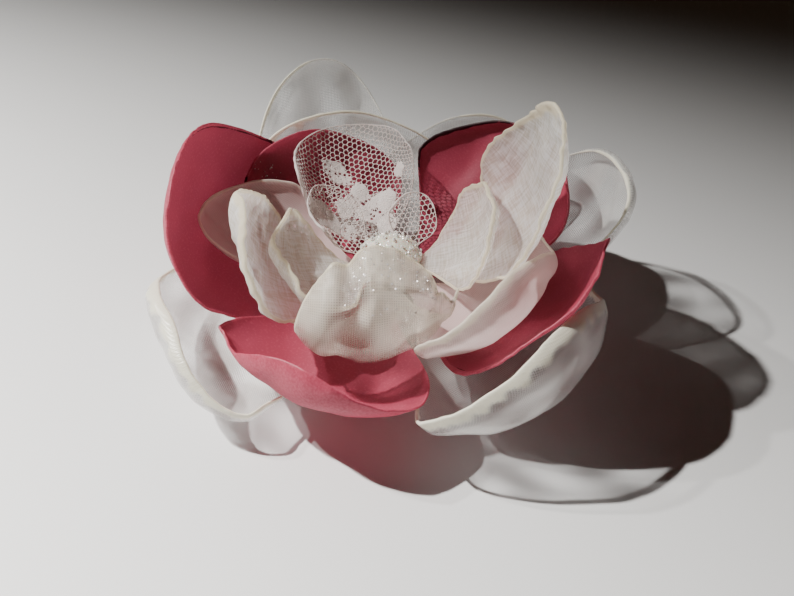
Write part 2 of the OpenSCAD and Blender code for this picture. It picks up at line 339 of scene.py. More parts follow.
def bent_point(p, s, t, off):
    """A point in space of a place on the flat cut, off the cloth's middle by off.

    Across, the cloth is cupped on an arc and turned about its length. Along, it is straight at
    the root's slope, bends on an arc, and goes on straight at the tip's slope.
    """
    across, dip = arc(np.radians(p.cup) * ease(t, 0, CUP_AT) / p.half, s)
    roll = np.radians(p.roll) * ease(t, 0, CUP_AT)
    side = across * np.cos(roll) - dip * np.sin(roll)
    up = across * np.sin(roll) + dip * np.cos(roll) + off
    rise, lift = np.radians(p.rise), np.radians(p.lift)
    turn = (lift - rise) / (p.set - p.bend) / p.length
    bent = p.length * np.maximum(0, np.minimum(t, p.set) - p.bend)
    slope = rise + turn * bent
    run, climb = arc(turn, bent)
    first = p.length * np.minimum(t, p.bend) + run
    last = p.length * np.maximum(0, t - p.set)
    out = ROOT_R + first * np.cos(rise) - climb * np.sin(rise) + last * np.cos(slope) - up * np.sin(slope)
    z = FIRST_Z + p.level * LAYER_STEP + first * np.sin(rise) + climb * np.cos(rise)
    z = z + last * np.sin(slope) + up * np.cos(slope)
    az = np.radians(p.az + p.lean * t)
    return HEART + np.stack(
        [out * np.cos(az) - side * np.sin(az), out * np.sin(az) + side * np.cos(az), z], -1)


def folded(p, s, along):
    """How far a petal's folds lift a place on its flat cut: a round ridge along each fold's line."""
    total = np.zeros(np.shape(s))
    for f in FOLDS.get(p.node, ()):
        start = np.array([f.x0 * p.half, (f.y0 + 1) / 2 * p.length])
        end = np.array([f.x1 * p.half, (f.y1 + 1) / 2 * p.length])
        line = end - start
        near = np.clip(((s - start[0]) * line[0] + (along - start[1]) * line[1]) / (line @ line), 0, 1)
        away = np.hypot(s - start[0] - near * line[0], along - start[1] - near * line[1])
        total = total + f.height * np.exp(-(away / f.width) ** 2)
    return total


def petal_place(p, look, x, y):
    """A point of a petal's middle, and its place on the flat cut in millimetres.

    Over the plain form lie its folds, the cloth's crinkles, and crimps that grow towards the rim.
    """
    s, t, off = cut_point(p, x, y)
    along = t * p.length
    edge = (1 - np.hypot(x, y)) * p.half
    free = ease(t, FREE_FROM, FREE_FULL)
    detail = folded(p, s, along)
    detail = detail + look.sway / MM * ripples(s, along, look.sway_wave / MM, p.seed + 50)
    detail = detail + look.crinkle / MM * ripples(s, along, look.crinkle_wave / MM, p.seed)
    crimp = ripples(s, along, look.crimp_wave / MM, p.seed + 100) * np.exp(-edge / CRIMP_REACH)
    detail = detail + look.crimp / MM * crimp
    return bent_point(p, s, t, off + detail * free), np.stack([s, along], -1)


def with_normals(place, x, y, step=0.004):
    """Points of a surface and its normals, by short steps towards the middle of the disc."""
    here, flat = place(x, y)
    dx = np.where(x > 0, -step, step)
    dy = np.where(y > 0, -step, step)
    across = (place(x + dx, y)[0] - here) / dx[..., None]
    along = (place(x, y + dy)[0] - here) / dy[..., None]
    return here, unit(np.cross(along, across)), flat


def ring_faces(rings, around):
    """Four-sided faces between rings of points, each ring closed on itself."""
    ring = np.arange(rings - 1)[:, None] * around
    step = np.arange(around)[None, :]
    nxt = (step + 1) % around
    outer = ring + around
    return np.stack([ring + step, ring + nxt, outer + nxt, outer + step], -1).reshape(-1, 4)


def fan_faces(pole, ring, around):
    """Triangles between a pole and the ring of points that starts at a number."""
    step = np.arange(around)
    return np.stack([np.full(around, pole), ring + (step + 1) % around, ring + step], -1)


def caps(rings, around):
    """Triangles that close the first and the last of a number of rings, each to its pole after them."""
    last = rings * around
    return np.concatenate([
        fan_faces(last, 0, around), fan_faces(last + 1, last - around, around)[:, ::-1]])


def shell(place, half_wall, rings, spokes, closer=0.93):
    """A cloth as a closed wall on a round grid: the inner skin, the lip round the rim, the outer skin.

    place gives points and flat places on the unit disc, and half_wall gives half the wall from the
    disc's x and y. Each skin lies half a wall off the middle, and the lip is half a circle. Rings
    lie closer to each other towards the rim. Gives points, faces, flat places, the disc's x and y,
    and the side: 1 inside, 0 on the lip and -1 outside.
    """
    share = np.linspace(0, 1, rings + 1)[1:]
    r = np.sin(share * np.pi / 2 * closer) / np.sin(np.pi / 2 * closer)
    turn = turns(spokes)
    x, y = np.outer(r, np.sin(turn)), np.outer(r, np.cos(turn))
    middle, normal, flat = with_normals(place, x, y)
    pole, pole_normal, pole_flat = with_normals(place, np.zeros(1), np.zeros(1))
    thick = half_wall(x, y)[..., None]
    away = middle[-1] - middle[-2]
    away = unit(away - (away * normal[-1]).sum(-1, keepdims=True) * normal[-1])
    angles = np.radians([60, 30, 0, -30, -60])[:, None, None]
    lip = middle[-1] + thick[-1] * (normal[-1] * np.sin(angles) + away * np.cos(angles))
    pole_wall = pole_normal * half_wall(np.zeros(1), np.zeros(1))[..., None]
    points = np.concatenate([part.reshape(-1, 3) for part in (
        middle + normal * thick, lip, (middle - normal * thick)[::-1],
        pole + pole_wall, pole - pole_wall)])

    def all_round(inside, on_lip, poles):
        return np.concatenate([
            inside.reshape(rings * spokes, -1), np.repeat(on_lip[None], 5, 0).reshape(5 * spokes, -1),
            inside[::-1].reshape(rings * spokes, -1), poles, poles])

    flats = all_round(flat, flat[-1], pole_flat)
    disc = all_round(np.stack([x, y], -1), np.stack([x[-1], y[-1]], -1), np.zeros((1, 2)))
    skin = np.ones(rings * spokes)
    side = np.concatenate([skin, np.zeros(5 * spokes), -skin, [1, -1]])
    total = 2 * rings + 5
    return points, [ring_faces(total, spokes), caps(total, spokes)], flats, disc, side


def circles(middle, along, normal, radius, sides):
    """Circles of points across a direction, each with its first corner towards the normal."""
    across = unit(np.cross(along, normal))
    up = np.cross(across, along)
    turn = turns(sides)[:, None]
    circle = up[:, None] * np.cos(turn) + across[:, None] * np.sin(turn)
    return middle[:, None] + circle * radius[:, None, None]


def tubes(start, end, normal, radius, sides=5):
    """Straight round tubes with flat ends, from arrays of their ends and radii."""
    along = unit(end - start)
    ends = np.stack([circles(spot, along, normal, radius, sides) for spot in (start, end)], 1)
    first = np.arange(len(start))[:, None] * 2 * sides
    step = np.arange(sides)
    nxt = (step + 1) % sides
    far = first + sides
    quads = np.stack([first + step, far + step, far + nxt, first + nxt], -1).reshape(-1, 4)
    lids = np.concatenate([first + step, (far + step)[:, ::-1]])
    return ends.reshape(-1, 3), [quads, lids]


def ring_tube(middle, normal, radius, sides=8):
    """A closed tube along a ring of points, its radius given at each point."""
    along = unit(np.roll(middle, -1, 0) - np.roll(middle, 1, 0))
    points = circles(middle, along, normal, radius, sides).reshape(-1, 3)
    here = np.arange(len(middle))[:, None] * sides
    there = np.roll(here, -1, 0)
    step = np.arange(sides)[None]
    nxt = (step + 1) % sides
    return points, [np.stack([here + step, there + step, there + nxt, here + nxt], -1).reshape(-1, 4)]


def spun(radius, height, around):
    """A solid of revolution about Z from a profile whose two ends lie on the axis.

    radius may vary round the axis: it has a row for each point of the profile between the ends.
    """
    turn = turns(around)
    level = np.broadcast_to(height[1:-1, None], radius.shape)
    rings = np.stack([radius * np.cos(turn), radius * np.sin(turn), level], -1)
    points = np.concatenate([rings.reshape(-1, 3), [[0, 0, height[0]], [0, 0, height[-1]]]])
    count = len(radius)
    return points, [ring_faces(count, around), caps(count, around)]


def copies(points, faces, places, axes, sizes):
    """One small shape repeated: its points turned to each set of axes, scaled and moved."""
    many = places[:, None] + np.einsum("nij,kj->nki", axes, points) * sizes[:, None, None]
    step = (np.arange(len(places)) * len(points))[:, None, None]
    return many.reshape(-1, 3), [(f[None] + step).reshape(-1, f.shape[1]) for f in faces]


def joined(parts):
    """Several closed shapes, each points and a list of face arrays, as one, with their faces outward."""
    start = np.cumsum([0] + [len(points) for points, _ in parts])
    faces = [f + n for (points, own), n in zip(parts, start) for f in outward(points, own)]
    return np.concatenate([points for points, _ in parts]), faces


def tilted_axes(normal, rng, tilt):
    """Random axes for small pieces lying on a surface, each tipped from its normal by up to tilt."""
    up = unit(normal + np.tan(tilt) * rng.uniform(-1, 1, normal.shape))
    across = unit(np.cross(up, rng.normal(size=normal.shape)))
    return np.stack([across, np.cross(up, across), up], -1)


def outward(points, faces):
    """The faces, all turned round if the volume that they close comes out negative."""
    triangles = np.concatenate([f[:, [0, k, k + 1]] for f in faces for k in range(1, f.shape[1] - 1)])
    a, b, c = (points[triangles[:, k]] for k in range(3))
    return [f[:, ::-1] for f in faces] if (a * np.cross(b, c)).sum() < 0 else faces


def mesh_object(name, points, faces, flats=None, floats=None, smooth=True):
    """A mesh object at the origin from points in millimetres, with a flat map and point values.

    faces is a list of arrays, one for each number of corners.
    """
    mesh = bpy.data.meshes.new(name)
    corners = np.concatenate([f.ravel() for f in faces]).astype(np.int32)
    counts = np.concatenate([np.full(len(f), f.shape[1]) for f in faces]).astype(np.int32)
    mesh.vertices.add(len(points))
    mesh.vertices.foreach_set("co", (points * MM).astype(np.float32).ravel())
    mesh.loops.add(len(corners))
    mesh.loops.foreach_set("vertex_index", corners)
    mesh.polygons.add(len(counts))
    mesh.polygons.foreach_set("loop_start", np.concatenate([[0], np.cumsum(counts)[:-1]]).astype(np.int32))
    mesh.update(calc_edges=True)
    mesh.polygons.foreach_set("use_smooth", np.full(len(counts), smooth))
    if flats is not None:
        layer = mesh.uv_layers.new(name="cloth")
        layer.data.foreach_set("uv", (flats[corners] * MM).astype(np.float32).ravel())
    for key, values in (floats or {}).items():
        attribute = mesh.attributes.new(key, "FLOAT", "POINT")
        attribute.data.foreach_set("value", np.asarray(values, np.float32))
    mesh.validate()
    piece = bpy.data.objects.new(name, mesh)
    bpy.context.scene.collection.objects.link(piece)
    return piece


def placed(piece, material, slot, *nodes):
    """Gives a piece its material, puts it on the body, and in the place of its solids. Its slot is not
    used.
    """
    piece.data.materials.append(material)
    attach(piece, "root")
    if nodes:
        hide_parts(*nodes)


def declare_petal(p):
    """Works out the points round a petal's rim on its flat cut, and does nothing with them."""
    turn = np.linspace(0, 2 * np.pi, 361)
    s, t, _ = cut_point(p, np.sin(turn), np.cos(turn))


# Materials


def linear(code):
    """An sRGB hex colour as linear red, green, blue and 1."""
    part = np.array([int(code[i:i + 2], 16) for i in (1, 3, 5)]) / 255
    return (*np.where(part <= 0.04045, part / 12.92, ((part + 0.055) / 1.055) ** 2.4).tolist(), 1.0)


def add(tree, kind, inputs=None, **settings):
    """Adds a shader node with its settings, and sets or links its inputs, given by name or number.

    An input may be given another node, whose first output in use is linked to it.
    """
    made = tree.nodes.new("ShaderNode" + kind)
    for key, value in settings.items():
        setattr(made, key, value)
    for key, value in (inputs or {}).items():
        if isinstance(value, bpy.types.Node):
            value = next(s for s in value.outputs if s.enabled)
        if isinstance(value, bpy.types.NodeSocket):
            tree.links.new(value, made.inputs[key])
        else:
            made.inputs[key].default_value = value
    return made


def new_material(name, surface, *values):
    """A material whose tree is filled by one of the functions below, which gives its last shader."""
    made = bpy.data.materials.new(name)
    made.use_nodes = True
    tree = made.node_tree
    tree.nodes.clear()
    add(tree, "OutputMaterial", {"Surface": surface(tree, *values)})
    return made


def clouded(tree, place, width, dark, light, detail=3.0):
    """Clouds of a width in millimetres, and a colour that goes from dark to light with them."""
    cloud = add(tree, "TexNoise", {"Vector": place, "Scale": 1 / (width * MM), "Detail": detail})
    return cloud, add(tree, "Mix", {0: cloud, 6: dark, 7: light}, data_type="RGBA")


def lit_through(tree, surface, colour, bump, scatter, opening=None):
    """A cloth's last shader: part of the light scatters on through it, and part goes straight through.

    scatter is the share of the rest that scatters, and opening, a socket, the share that goes
    straight through one skin. A petal has two skins, so each gives the light half of its dye, the
    square root of the colour.
    """
    dye = add(tree, "Gamma", {"Color": colour, "Gamma": 0.5})
    through = add(tree, "BsdfTranslucent", {"Color": dye, "Normal": bump})
    cloth = add(tree, "MixShader", {0: scatter, 1: surface, 2: through})
    if opening is not None:
        clear = add(tree, "BsdfTransparent")
        cloth = add(tree, "MixShader", {0: opening, 1: cloth, 2: clear})
    return cloth


def sheer_surface(tree, look, pitch, scatter):
    """Sheer plain-woven polyester, melted along the rim, its threads a pitch apart in millimetres.

    Its filaments are smooth, so it glints in a pale sheen along folds, and more light goes straight
    through between the threads, which lie about twice as far apart as real ones so that they show.
    Clouds of 3 mm, where it has been handled, are a little greyer. The melted rim is solid, ivory
    and waxy, with lumps of under a millimetre.
    """
    flat = add(tree, "UVMap", uv_map="cloth")
    rim, opening = (add(tree, "Attribute", attribute_name=key).outputs["Fac"] for key in ("rim", "open"))
    cloud, body = clouded(tree, flat, 3, look.shade, look.body)
    bands = {"Vector": flat, "Scale": np.pi / 10 / (pitch * MM), "Distortion": 1.5, "Detail Scale": 0.3}
    warp = add(tree, "TexWave", bands, bands_direction="X")
    weft = add(tree, "TexWave", bands, bands_direction="Y")
    threads = add(tree, "Math", {0: warp.outputs["Fac"], 1: weft.outputs["Fac"]}, operation="MAXIMUM")
    colour = add(tree, "Mix", {0: rim, 6: body, 7: look.rim}, data_type="RGBA")
    fine = add(tree, "Bump", {"Strength": 0.4, "Distance": 0.0001, "Height": threads})
    bump = add(tree, "Bump", {"Strength": rim, "Distance": 0.0002, "Height": cloud, "Normal": fine})
    surface = add(tree, "BsdfPrincipled", {
        "Base Color": colour, "Roughness": 0.3, "Normal": bump, "Sheen Weight": 0.3,
        "Sheen Roughness": 0.4})
    between = add(tree, "MapRange", {"Value": threads, "To Min": 1.5, "To Max": 0.85})
    share = add(tree, "Math", {0: opening, 1: between}, operation="MULTIPLY")
    return lit_through(tree, surface, colour, bump, scatter, share)


def satin_surface(tree, look):
    """Polyester satin, singed along the rim.

    Inside, its dull side is deep crimson with clouds of 11 mm and a fine mottle of 0.5 mm, with
    painted glints: specks of the paler face colour where the mottle peaks. Its bright face, smoother,
    shows on the outside and on the turned rim, as far as the ragged burnt line, in a paler, pinker
    colour that is painted sheen, mottled. Its floats run slantwise, 0.3 mm wide here, coarser than
    real so that they show.
    """
    flat = add(tree, "UVMap", uv_map="cloth")
    rim, face = (add(tree, "Attribute", attribute_name=key).outputs["Fac"] for key in ("rim", "face"))
    _, deep = clouded(tree, flat, 11, look.shade, look.body, 4.0)
    mottle = add(tree, "TexNoise", {"Vector": flat, "Scale": 1 / (0.5 * MM), "Detail": 2.0})
    slant = add(tree, "Mapping", {"Vector": flat, "Rotation": (0, 0, 0.7), "Scale": (3300, 250, 1)})
    floats = add(tree, "TexNoise", {"Vector": slant, "Scale": 1.0, "Detail": 1.0})
    crushed = add(tree, "MapRange", {"Value": mottle, "From Min": 0.32, "From Max": 0.72})
    # Painted sheen: on the bright side the mottle mixes in the paler, pinker face colour
    bright = add(tree, "Mix", {0: crushed, 6: look.body, 7: look.face}, data_type="RGBA")
    # Painted glints: specks of the face colour where the fine mottle peaks, also on the dull side
    painted_glints = add(tree, "MapRange", {"Value": mottle, "From Min": 0.52, "From Max": 0.78, "To Max": 0.5})
    inside = add(tree, "Mix", {0: painted_glints, 6: deep, 7: look.face}, data_type="RGBA")
    sides = add(tree, "Mix", {0: face, 6: inside, 7: bright}, data_type="RGBA")
    ragged = add(tree, "Math", {0: mottle, 1: 0.9, 2: rim}, operation="MULTIPLY_ADD")
    burnt = add(tree, "MapRange", {"Value": ragged, "From Min": 0.92, "From Max": 1.15})
    colour = add(tree, "Mix", {0: burnt, 6: sides, 7: look.rim}, data_type="RGBA")
    fine = add(tree, "Bump", {"Strength": 0.35, "Distance": 0.00006, "Height": floats})
    bump = add(tree, "Bump", {"Strength": 0.3, "Distance": 0.0001, "Height": mottle, "Normal": fine})
    rough = add(tree, "MapRange", {"Value": face, "To Min": 0.6, "To Max": 0.42})
    surface = add(tree, "BsdfPrincipled", {
        "Base Color": colour, "Roughness": rough, "Normal": bump, "Sheen Weight": 0.35,
        "Sheen Roughness": 0.4, "Sheen Tint": look.face})
    return lit_through(tree, surface, colour, bump, 0.42)


def crepe_surface(tree, look):
    """Polyester crepe, a gauzy ivory cloth with slubs both ways, scorched along the rim.

    Slubs 0.4 mm wide and 4 to 6 mm long cross each other, lighter and standing up. It is matt, and
    more open where the threads have drawn apart. Round holes 0.9 mm across are worked into one
    petal's flank.
    """
    flat = add(tree, "UVMap", uv_map="cloth")
    rim, opening, holes = (
        add(tree, "Attribute", attribute_name=key).outputs["Fac"] for key in ("rim", "open", "holes"))
    _, body = clouded(tree, flat, 6, look.shade, look.body)
    along = add(tree, "Mapping", {"Vector": flat, "Rotation": (0, 0, 0.2), "Scale": (2300, 160, 1)})
    across = add(tree, "Mapping", {"Vector": flat, "Rotation": (0, 0, 0.2), "Scale": (240, 2300, 1)})
    warp = add(tree, "TexNoise", {"Vector": along, "Scale": 1.0, "Detail": 2.0})
    weft = add(tree, "TexNoise", {"Vector": across, "Scale": 1.0, "Detail": 2.0})
    threads = add(tree, "Math", {0: warp, 1: weft}, operation="ADD")
    light = add(tree, "MapRange", {"Value": threads, "From Min": 0.85, "From Max": 1.12})
    slubs = add(tree, "Mix", {0: light, 6: body, 7: look.slub}, data_type="RGBA")
    colour = add(tree, "Mix", {0: rim, 6: slubs, 7: look.rim}, data_type="RGBA")
    bump = add(tree, "Bump", {"Strength": 0.6, "Distance": 0.00015, "Height": threads})
    surface = add(tree, "BsdfPrincipled", {
        "Base Color": colour, "Roughness": 0.62, "Normal": bump, "Sheen Weight": 0.25,
        "Sheen Roughness": 0.5})
    drawn = add(tree, "MapRange", {
        "Value": threads, "From Min": 0.75, "From Max": 1.2, "To Min": 1.25, "To Max": 0.7})
    gaps = add(tree, "Math", {0: opening, 1: drawn}, operation="MULTIPLY")
    dots = add(tree, "TexVoronoi", {"Vector": flat, "Scale": 1 / (1.5 * MM), "Randomness": 0.4})
    hole = add(tree, "Math", {0: dots, 1: 0.3}, operation="LESS_THAN")
    worked = add(tree, "Math", {0: hole, 1: holes}, operation="MULTIPLY")
    share = add(tree, "Math", {0: gaps, 1: worked}, operation="MAXIMUM")
    return lit_through(tree, surface, colour, bump, 0.62, share)


def thread_surface(tree, look):
    """Bleached polyester lace thread: matt white, with a twist, and stitches packed 0.4 mm apart.

    The stitched leaves have small holes, up to 0.7 mm wide, between the stitches.
    """
    place = add(tree, "TexCoord").outputs["Object"]
    holes = add(tree, "Attribute", attribute_name="holes").outputs["Fac"]
    fuzz, colour = clouded(tree, place, 0.4, look.shade, look.body, 2.0)
    bump = add(tree, "Bump", {"Strength": 0.9, "Distance": 0.00015, "Height": fuzz})
    surface = add(tree, "BsdfPrincipled", {
        "Base Color": colour, "Roughness": 0.55, "Normal": bump, "Sheen Weight": 0.3,
        "Sheen Roughness": 0.5})
    dots = add(tree, "TexVoronoi", {"Vector": place, "Scale": 1 / (0.95 * MM)})
    hole = add(tree, "Math", {0: dots, 1: 0.38}, operation="LESS_THAN")
    share = add(tree, "Math", {0: hole, 1: holes}, operation="MULTIPLY")
    return lit_through(tree, surface, colour, bump, 0.35, share)


def glass_surface(tree):
    """Clear pressed glass seed beads, bright, with a slight haze in clouds of 2 mm."""
    place = add(tree, "TexCoord").outputs["Object"]
    haze = add(tree, "TexNoise", {"Vector": place, "Scale": 500.0, "Detail": 1.0})
    rough = add(tree, "MapRange", {"Value": haze, "To Min": 0.02, "To Max": 0.16})
    return add(tree, "BsdfPrincipled", {
        "Base Color": linear("#fbfaf5"), "Roughness": rough, "IOR": 1.5, "Transmission Weight": 0.3,
        "Coat Weight": 0.6})


def glitter_surface(tree):
    """Cut metallised polyester film: silver flakes that glint, warm or cool by turns of 1 mm."""
    place = add(tree, "TexCoord").outputs["Object"]
    tint = add(tree, "TexNoise", {"Vector": place, "Scale": 900.0})
    colour = add(tree, "Mix", {0: tint, 6: linear("#fff0e8"), 7: linear("#f2f6ff")}, data_type="RGBA")
    return add(tree, "BsdfPrincipled", {"Base Color": colour, "Metallic": 0.5, "Roughness": 0.33})


def glue_surface(tree, look):
    """Set hot-melt glue: milky ivory, waxy, lumpy at 2 mm, and glossy where it was touched last."""
    place = add(tree, "TexCoord").outputs["Object"]
    # Painted shade: the colour goes to glue_shade in the hollows of the lumps, where the bump is low
    lumps, colour = clouded(tree, place, 2, look.glue_shade, look.glue)
    rough = add(tree, "MapRange", {"Value": lumps, "To Min": 0.45, "To Max": 0.15})
    bump = add(tree, "Bump", {"Strength": 0.7, "Distance": 0.0008, "Height": lumps})
    return add(tree, "BsdfPrincipled", {
        "Base Color": colour, "Roughness": rough, "Normal": bump, "Subsurface Weight": 0.3,
        "Subsurface Scale": 0.002})


def felt_surface(tree, look):
    """Pressed craft felt: matt, with matted fibres 0.7 mm long and a mottle of 5 mm."""
    place = add(tree, "TexCoord").outputs["Object"]
    fibres = add(tree, "TexNoise", {
        "Vector": place, "Scale": 1 / (0.7 * MM), "Detail": 5.0, "Distortion": 1.5})
    mottle = add(tree, "TexNoise", {"Vector": place, "Scale": 1 / (5 * MM), "Detail": 2.0})
    # Painted shade: the colour goes to felt_shade between the fibres, where the bump is low; the 5 mm
    # mottle below is random tone
    matted = add(tree, "Mix", {0: fibres, 6: look.felt_shade, 7: look.felt}, data_type="RGBA")
    worn = add(tree, "MapRange", {"Value": mottle, "To Max": 0.4})
    colour = add(tree, "Mix", {0: worn, 6: matted, 7: look.felt_shade}, data_type="RGBA")
    bump = add(tree, "Bump", {"Strength": 0.9, "Distance": 0.0002, "Height": fibres})
    return add(tree, "BsdfPrincipled", {
        "Base Color": colour, "Roughness": 0.92, "Normal": bump, "Sheen Weight": 0.4,
        "Sheen Roughness": 0.6})


def steel_surface(tree, look):
    """Nickel-plated steel strip: bright, with draw lines 0.2 mm apart, dulled in patches of 3 mm."""
    place = add(tree, "TexCoord").outputs["Object"]
    drawn = add(tree, "Mapping", {"Vector": place, "Scale": (60, 5000, 5000)})
    lines = add(tree, "TexNoise", {"Vector": drawn, "Scale": 1.0, "Detail": 2.0})
    worn, colour = clouded(tree, place, 3, look.steel_shade, look.steel)
    rough = add(tree, "MapRange", {"Value": worn, "To Min": 0.2, "To Max": 0.45})
    bump = add(tree, "Bump", {"Strength": 0.3, "Distance": 0.00003, "Height": lines})
    return add(tree, "BsdfPrincipled", {
        "Base Color": colour, "Metallic": 1.0, "Roughness": rough, "Normal": bump})


def card_surface(tree, look):
    """Pale matt card, with a faint tooth of 1 mm."""
    place = add(tree, "TexCoord").outputs["Object"]
    tooth = add(tree, "TexNoise", {"Vector": place, "Scale": 900.0, "Detail": 2.0})
    bump = add(tree, "Bump", {"Strength": 0.1, "Distance": 0.00005, "Height": tooth})
    return add(tree, "BsdfPrincipled", {"Base Color": look.floor, "Roughness": 0.75, "Normal": bump})


# Settings


def colour_property(name, description, code):
    """A colour of the panel, from an sRGB hex code."""
    return bpy.props.FloatVectorProperty(
        name=name, description=description, subtype="COLOR", size=4, min=0, max=1, default=linear(code))


def length_property(name, description, default, low, high):
    """A length of the panel, in metres, given in millimetres."""
    return bpy.props.FloatProperty(
        name=name, description=description, default=default * MM, min=low * MM, max=high * MM,
        unit="LENGTH", precision=5)


def cloth_properties(wall, lip, sway, crinkle, crimp, clear, body, shade, rim):
    """The properties that each cloth has. Waves are given as their height and length, in millimetres."""
    waves = {}
    for key, what, (height, length) in (
            ("sway", "broad waves", sway), ("crinkle", "crinkles", crinkle),
            ("crimp", "crimps at the rim", crimp)):
        waves[key] = length_property(key.capitalize(), f"Height of the {what}", height, 0, 2)
        waves[key + "_wave"] = length_property(
            key.capitalize() + " length", f"From crest to crest of the {what}", length, 1, 60)
    return {
        **waves,
        "wall": length_property("Wall", "Thickness of the cloth", wall, 0.1, 0.8),
        "lip": length_property("Lip", "Half the thickness of the rim", lip, 0.1, 1),
        "clear": bpy.props.FloatProperty(
            name="Clear", description="Share of light that goes straight through one skin",
            default=clear, min=0, max=1, subtype="FACTOR"),
        "body": colour_property("Body", "Colour of the cloth", body),
        "shade": colour_property("Shade", "Colour of its darker clouds", shade),
        "rim": colour_property("Rim", "Colour of the melted or burnt rim", rim),
    }


class FlowerSizes(bpy.types.PropertyGroup):
    """Sizes that all the petals share."""

    petal_length: length_property("Petal length", "Length of the longest petal", 75, 65, 90)
    petal_width: length_property("Petal width", "Width of the widest petal, laid flat", 60, 50, 70)
    ruffle_height: length_property("Ruffle height", "Height of the ruffles round the rims", 0.5, 0, 1)


class OrganzaLook(bpy.types.PropertyGroup):
    """Sheer white organza."""

    __annotations__ = cloth_properties(
        0.25, 0.34, (0.35, 16), (0.07, 5), (0.06, 7), 0.62, "#ededeb", "#dddcd9", "#fcf8e6")


class SatinLook(bpy.types.PropertyGroup):
    """Crimson satin."""

    __annotations__ = {
        **cloth_properties(
            0.4, 0.34, (0.3, 18), (0.06, 6), (0.13, 3.2), 0, "#be4a62", "#a33e57", "#2a0d14"),
        # The face colour is painted sheen: the bright side's shine, drawn as a paler, pinker colour
        "face": colour_property("Face", "Colour of the bright side", "#d2637a"),
    }


class ChiffonLook(bpy.types.PropertyGroup):
    """Pale pink chiffon."""

    __annotations__ = cloth_properties(
        0.25, 0.4, (0.3, 14), (0.06, 5), (0.12, 5), 0.26, "#fdeeec", "#f2d8d7", "#faf1e2")


class CrepeLook(bpy.types.PropertyGroup):
    """Ivory crinkled crepe."""

    __annotations__ = {
        **cloth_properties(
            0.4, 0.36, (0.35, 12), (0.12, 2.8), (0.24, 3), 0.3, "#fdfaf0", "#dcd2c2", "#fbf3dc"),
        "slub": colour_property("Slub", "Colour of its thick threads", "#ffffff"),
    }


class LaceLook(bpy.types.PropertyGroup):
    """White net with stitched leaves."""

    __annotations__ = {
        **cloth_properties(
            0.22, 0.26, (0.3, 12), (0.05, 5), (0.2, 4), 0, "#fefaf8", "#f2e2dd", "#fcf6f2"),
        "cell": length_property("Cell", "Width of a cell of the net, flat to flat", 1.25, 0.8, 2),
        "tilt": bpy.props.FloatProperty(
            name="Tilt", description="Turn of the net's rows from the petal's width",
            default=np.radians(-22), subtype="ANGLE", unit="ROTATION"),
    }


class CoreLook(bpy.types.PropertyGroup):
    """The glue with its beads and glitter, the felt and the pin."""

    bead: length_property("Bead", "Outer diameter of a seed bead", 1.0, 0.7, 3)
    beads: bpy.props.IntProperty(
        name="Beads", description="How many beads lie on the crown", default=44, min=8, max=90)
    flake: length_property("Flake", "Width of a glitter flake", 0.42, 0.2, 0.8)
    glue: colour_property("Glue", "Colour of the glue", "#f1ece0")
    # glue_shade is painted shade: the darker colour of the glue's hollows
    glue_shade: colour_property("Glue shade", "Colour of the glue's hollows", "#d9d0bd")
    felt: colour_property("Felt", "Colour of the felt", "#efe9dd")
    # felt_shade is painted shade between the fibres, and also the colour of the felt's random mottle
    felt_shade: colour_property("Felt shade", "Colour between the felt's fibres", "#b9b0a1")
    steel: colour_property("Steel", "Colour of the pin", "#cfcdc8")
    steel_shade: colour_property("Steel shade", "Colour of the pin's dull patches", "#a9a8a4")


class StageLook(bpy.types.PropertyGroup):
    """The floor and the lights."""

    floor: colour_property("Floor", "Colour of the floor", "#e9e9ea")
    key: bpy.props.FloatProperty(
        name="Key light", description="Power of the key light", default=115.0, min=0, unit="POWER")
    second: bpy.props.FloatProperty(
        name="Second light", description="Power of the lamp beside it", default=25.0, min=0, unit="POWER")
    room: bpy.props.FloatProperty(
        name="Room light", description="Strength of the light from all round", default=0.012, min=0)


GROUPS = {
    "sizes": FlowerSizes, "organza": OrganzaLook, "satin": SatinLook, "chiffon": ChiffonLook,
    "crepe": CrepeLook, "lace": LaceLook, "core": CoreLook, "stage": StageLook}


class FlowerSettings(bpy.types.PropertyGroup):
    """All the settings of the flower."""

    __annotations__ = {key: bpy.props.PointerProperty(type=group) for key, group in GROUPS.items()}


# Making the pieces


def melted_band(rim, x, y):
    """The width of the melted band, in millimetres, and how near its widest place is, 0 to 1."""
    off = (np.degrees(np.arctan2(x, y)) - rim.at + 180) % 360 - 180
    near = np.exp(-(off / rim.spread) ** 2)
    return rim.plain + (rim.wide - rim.plain) * near, near


def half_wall(p, look):
    """Gives half a petal's wall from the disc's x and y: the cloth's own, with a lumpy bead at the
    rim that is heavier where the melted band is wider.
    """
    rim = RIMS[p.node]

    def thick(x, y):
        edge = (1 - np.hypot(x, y)) * p.half
        heavy = np.clip(0.3 + 0.45 * melted_band(rim, x, y)[0], 0.3, 1)
        lumps = 1 + 0.2 * ripples(x * p.half, y * p.half, 2.6, p.seed + 30)
        bead = np.maximum(look.lip - look.wall / 2, 0) / MM * lumps * heavy
        return look.wall / MM / 2 + bead * np.exp(-(edge / BEAD_REACH) ** 2)

    return thick


